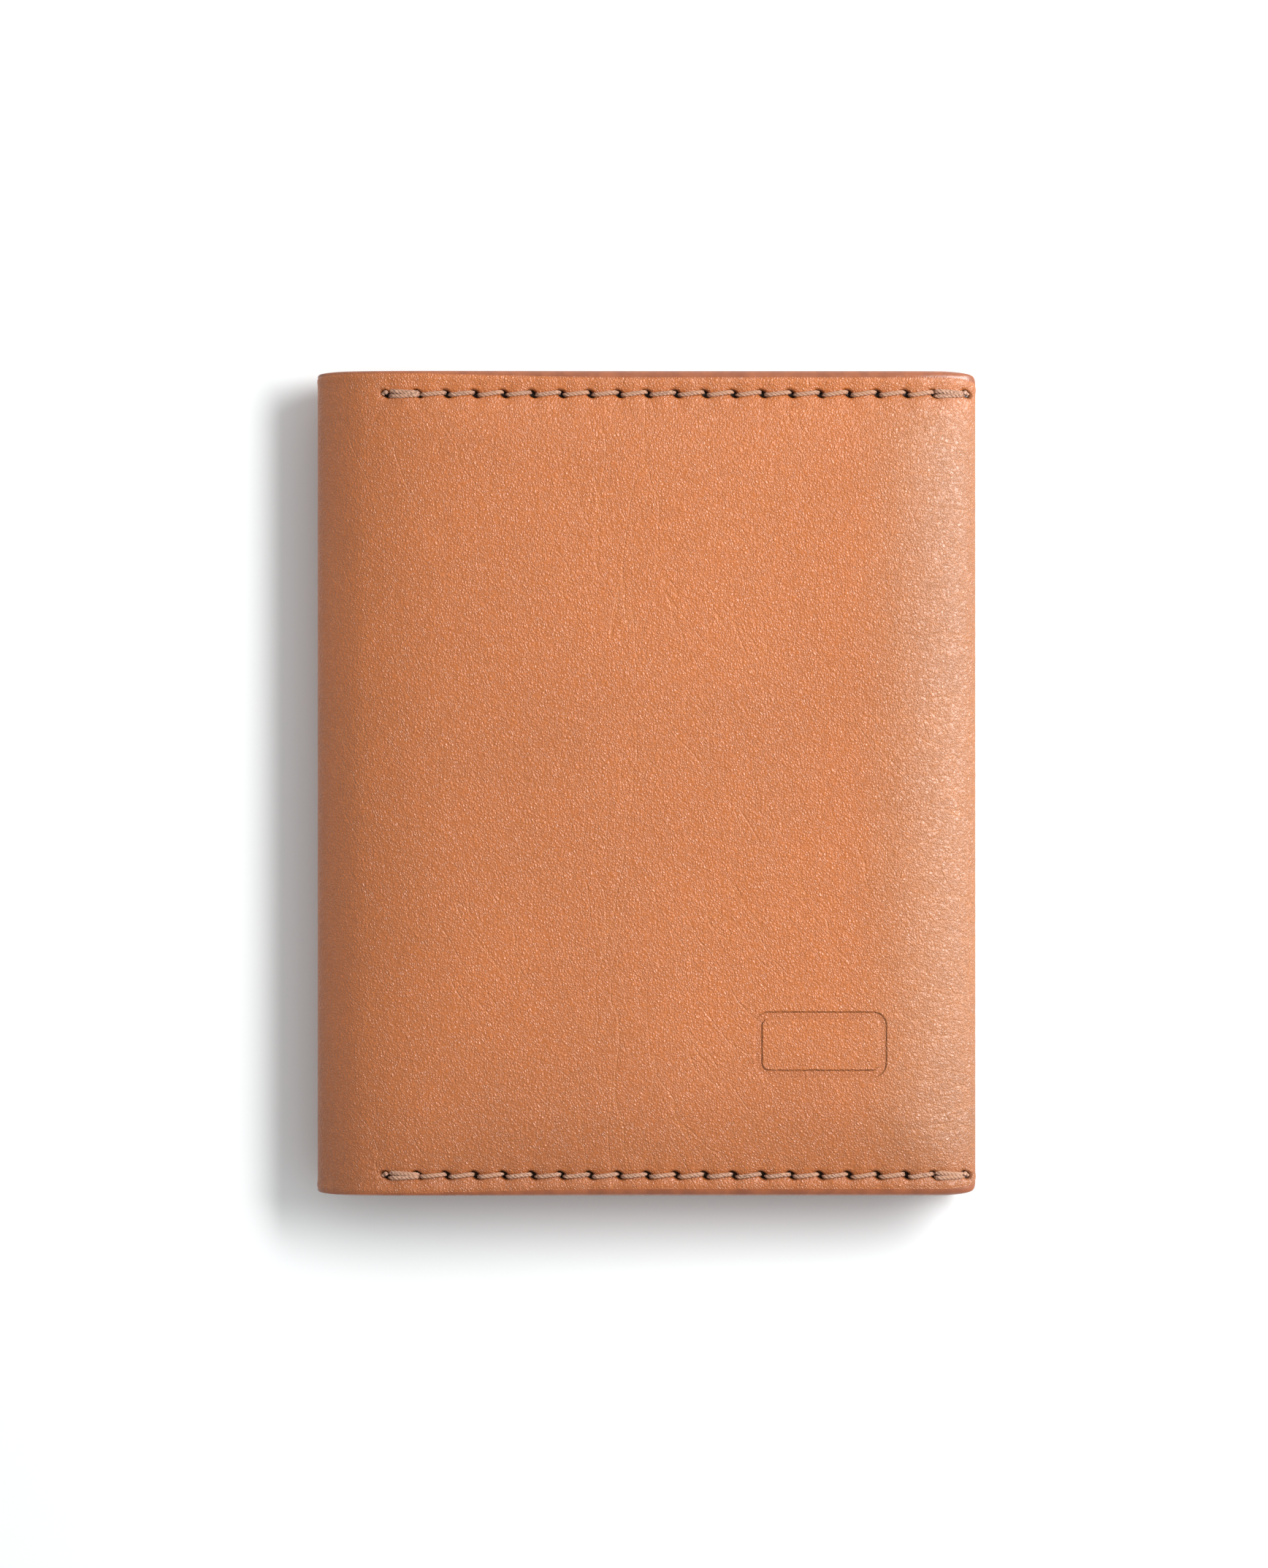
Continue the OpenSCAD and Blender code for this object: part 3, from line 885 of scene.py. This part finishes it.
def bend_at_crease(obj):
    """Bakes a cover piece's placement into its mesh.
    """
    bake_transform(obj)


def bend_in_middle(obj):
    """Bakes a spine piece's placement into its mesh."""
    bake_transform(obj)


for half, front in (("back", False), ("front", True)):
    body = f"{half}_half"
    cover = turned_cover(f"cover_{half}", front)
    finish_piece(cover, COVER_LEATHER if front else BACK_LEATHER, [f"{half}_shell"])
    bend_at_crease(cover)
    cloth = lining(f"lining_{half}", front)
    finish_piece(cloth, LINING, [f"{half}_lining"])
    bend_at_crease(cloth)
    finish_piece(board(f"board_{half}", front), BOARD, [f"{half}_board"], body)
    for part, mouth, end, depths in (
        ("sleeve_divider", DIVIDER_MOUTH, DIVIDER_END, DIVIDER),
        ("rear_pocket", REAR_MOUTH, REAR_MOUTH + POCKET_DEPTH, REAR_POCKET),
        ("front_pocket", FRONT_MOUTH, FRONT_MOUTH + POCKET_DEPTH, FRONT_POCKET),
    ):
        piece = panel(f"{part}_{half}", mouth, end, depths, front)
        finish_piece(piece, POCKET_LEATHER, [f"{half}_{part}"], body)
    for edge, row_y in (("top", HALF_H - TOP_INSET), ("bottom", BOTTOM_INSET - HALF_H)):
        row = stitch_row(f"stitches_{edge}_{half}", row_y, front)
        finish_piece(row, THREAD, [f"{half}_{edge}_thread"], body)

spine = leather_spine("spine")
finish_piece(spine, BACK_LEATHER, ["spine_leather_back", "spine_leather_front"])
bend_in_middle(spine)
inside_spine = spine_lining("spine_cloth")
finish_piece(inside_spine, LINING, ["spine_lining_back", "spine_lining_front"])
bend_in_middle(inside_spine)


# ------------------------------------------------------------------ floor, light and camera


def white_floor():
    """A wide sheet of white paper just under the wallet."""
    bpy.ops.mesh.primitive_plane_add(size=6, location=(0, 0, -0.00005))
    floor = bpy.context.object
    floor.name = "paper_floor"
    floor.data.materials.append(floor_material())


def area_light(name, direction, distance, size, power):
    """An oval light that faces the wallet from a direction. size is its breadth and its height."""
    data = bpy.data.lights.new(name, "AREA")
    data.shape = "ELLIPSE"
    data.size, data.size_y = size
    data.energy = power
    light = bpy.data.objects.new(name, data)
    bpy.context.scene.collection.objects.link(light)
    towards = Vector(direction).normalized()
    light.location = towards * distance
    light.rotation_euler = towards.to_track_quat("Z", "Y").to_euler()


def top_camera():
    """Straight down from 0.9 m, with 200 mm of floor along the picture's long side."""
    distance = 0.9
    view_height = 0.2002
    data = bpy.data.cameras.new("top_camera")
    data.lens = data.sensor_width * distance / view_height
    data.dof.use_dof = False
    camera = bpy.data.objects.new("top_camera", data)
    bpy.context.scene.collection.objects.link(camera)
    camera.location = (-0.00154, -0.00009, 0.008 + distance)
    bpy.context.scene.camera = camera


def white_room():
    """White surroundings: brightest past the fore edge, dimmer past the fold and overhead."""
    world = bpy.data.worlds.new("white_room")
    world.use_nodes = True
    tree = world.node_tree
    place = tree.nodes.new("ShaderNodeTexCoord").outputs["Generated"]
    across = tree.nodes.new("ShaderNodeVectorMath")
    across.operation = "DOT_PRODUCT"
    across.inputs[1].default_value = BRIGHTER_TOWARDS
    tree.links.new(place, across.inputs[0])
    axes = tree.nodes.new("ShaderNodeSeparateXYZ")
    tree.links.new(place, axes.inputs[0])

    def ramp(value, *limits):
        node = tree.nodes.new("ShaderNodeMapRange")
        tree.links.new(value, node.inputs["Value"])
        for socket, limit in zip(("From Min", "From Max", "To Min", "To Max"), limits):
            node.inputs[socket].default_value = limit
        return node.outputs[0]

    strength = tree.nodes.new("ShaderNodeMath")
    strength.operation = "MULTIPLY"
    tree.links.new(ramp(across.outputs["Value"], -0.55, 0.55, FOLD_SIDE, FORE_SIDE), strength.inputs[0])
    tree.links.new(ramp(axes.outputs["Z"], 0.78, 1.0, 1.0, OVERHEAD), strength.inputs[1])
    background = tree.nodes["Background"]
    background.inputs["Color"].default_value = (1, 1, 1, 1)
    tree.links.new(strength.outputs[0], background.inputs["Strength"])
    bpy.context.scene.world = world


white_floor()
area_light("key", (0.66, 0.3, 0.7), 0.5, (0.42, 0.17), 2.95)
top_camera()

white_room()
bpy.context.scene.view_settings.view_transform = "Standard"
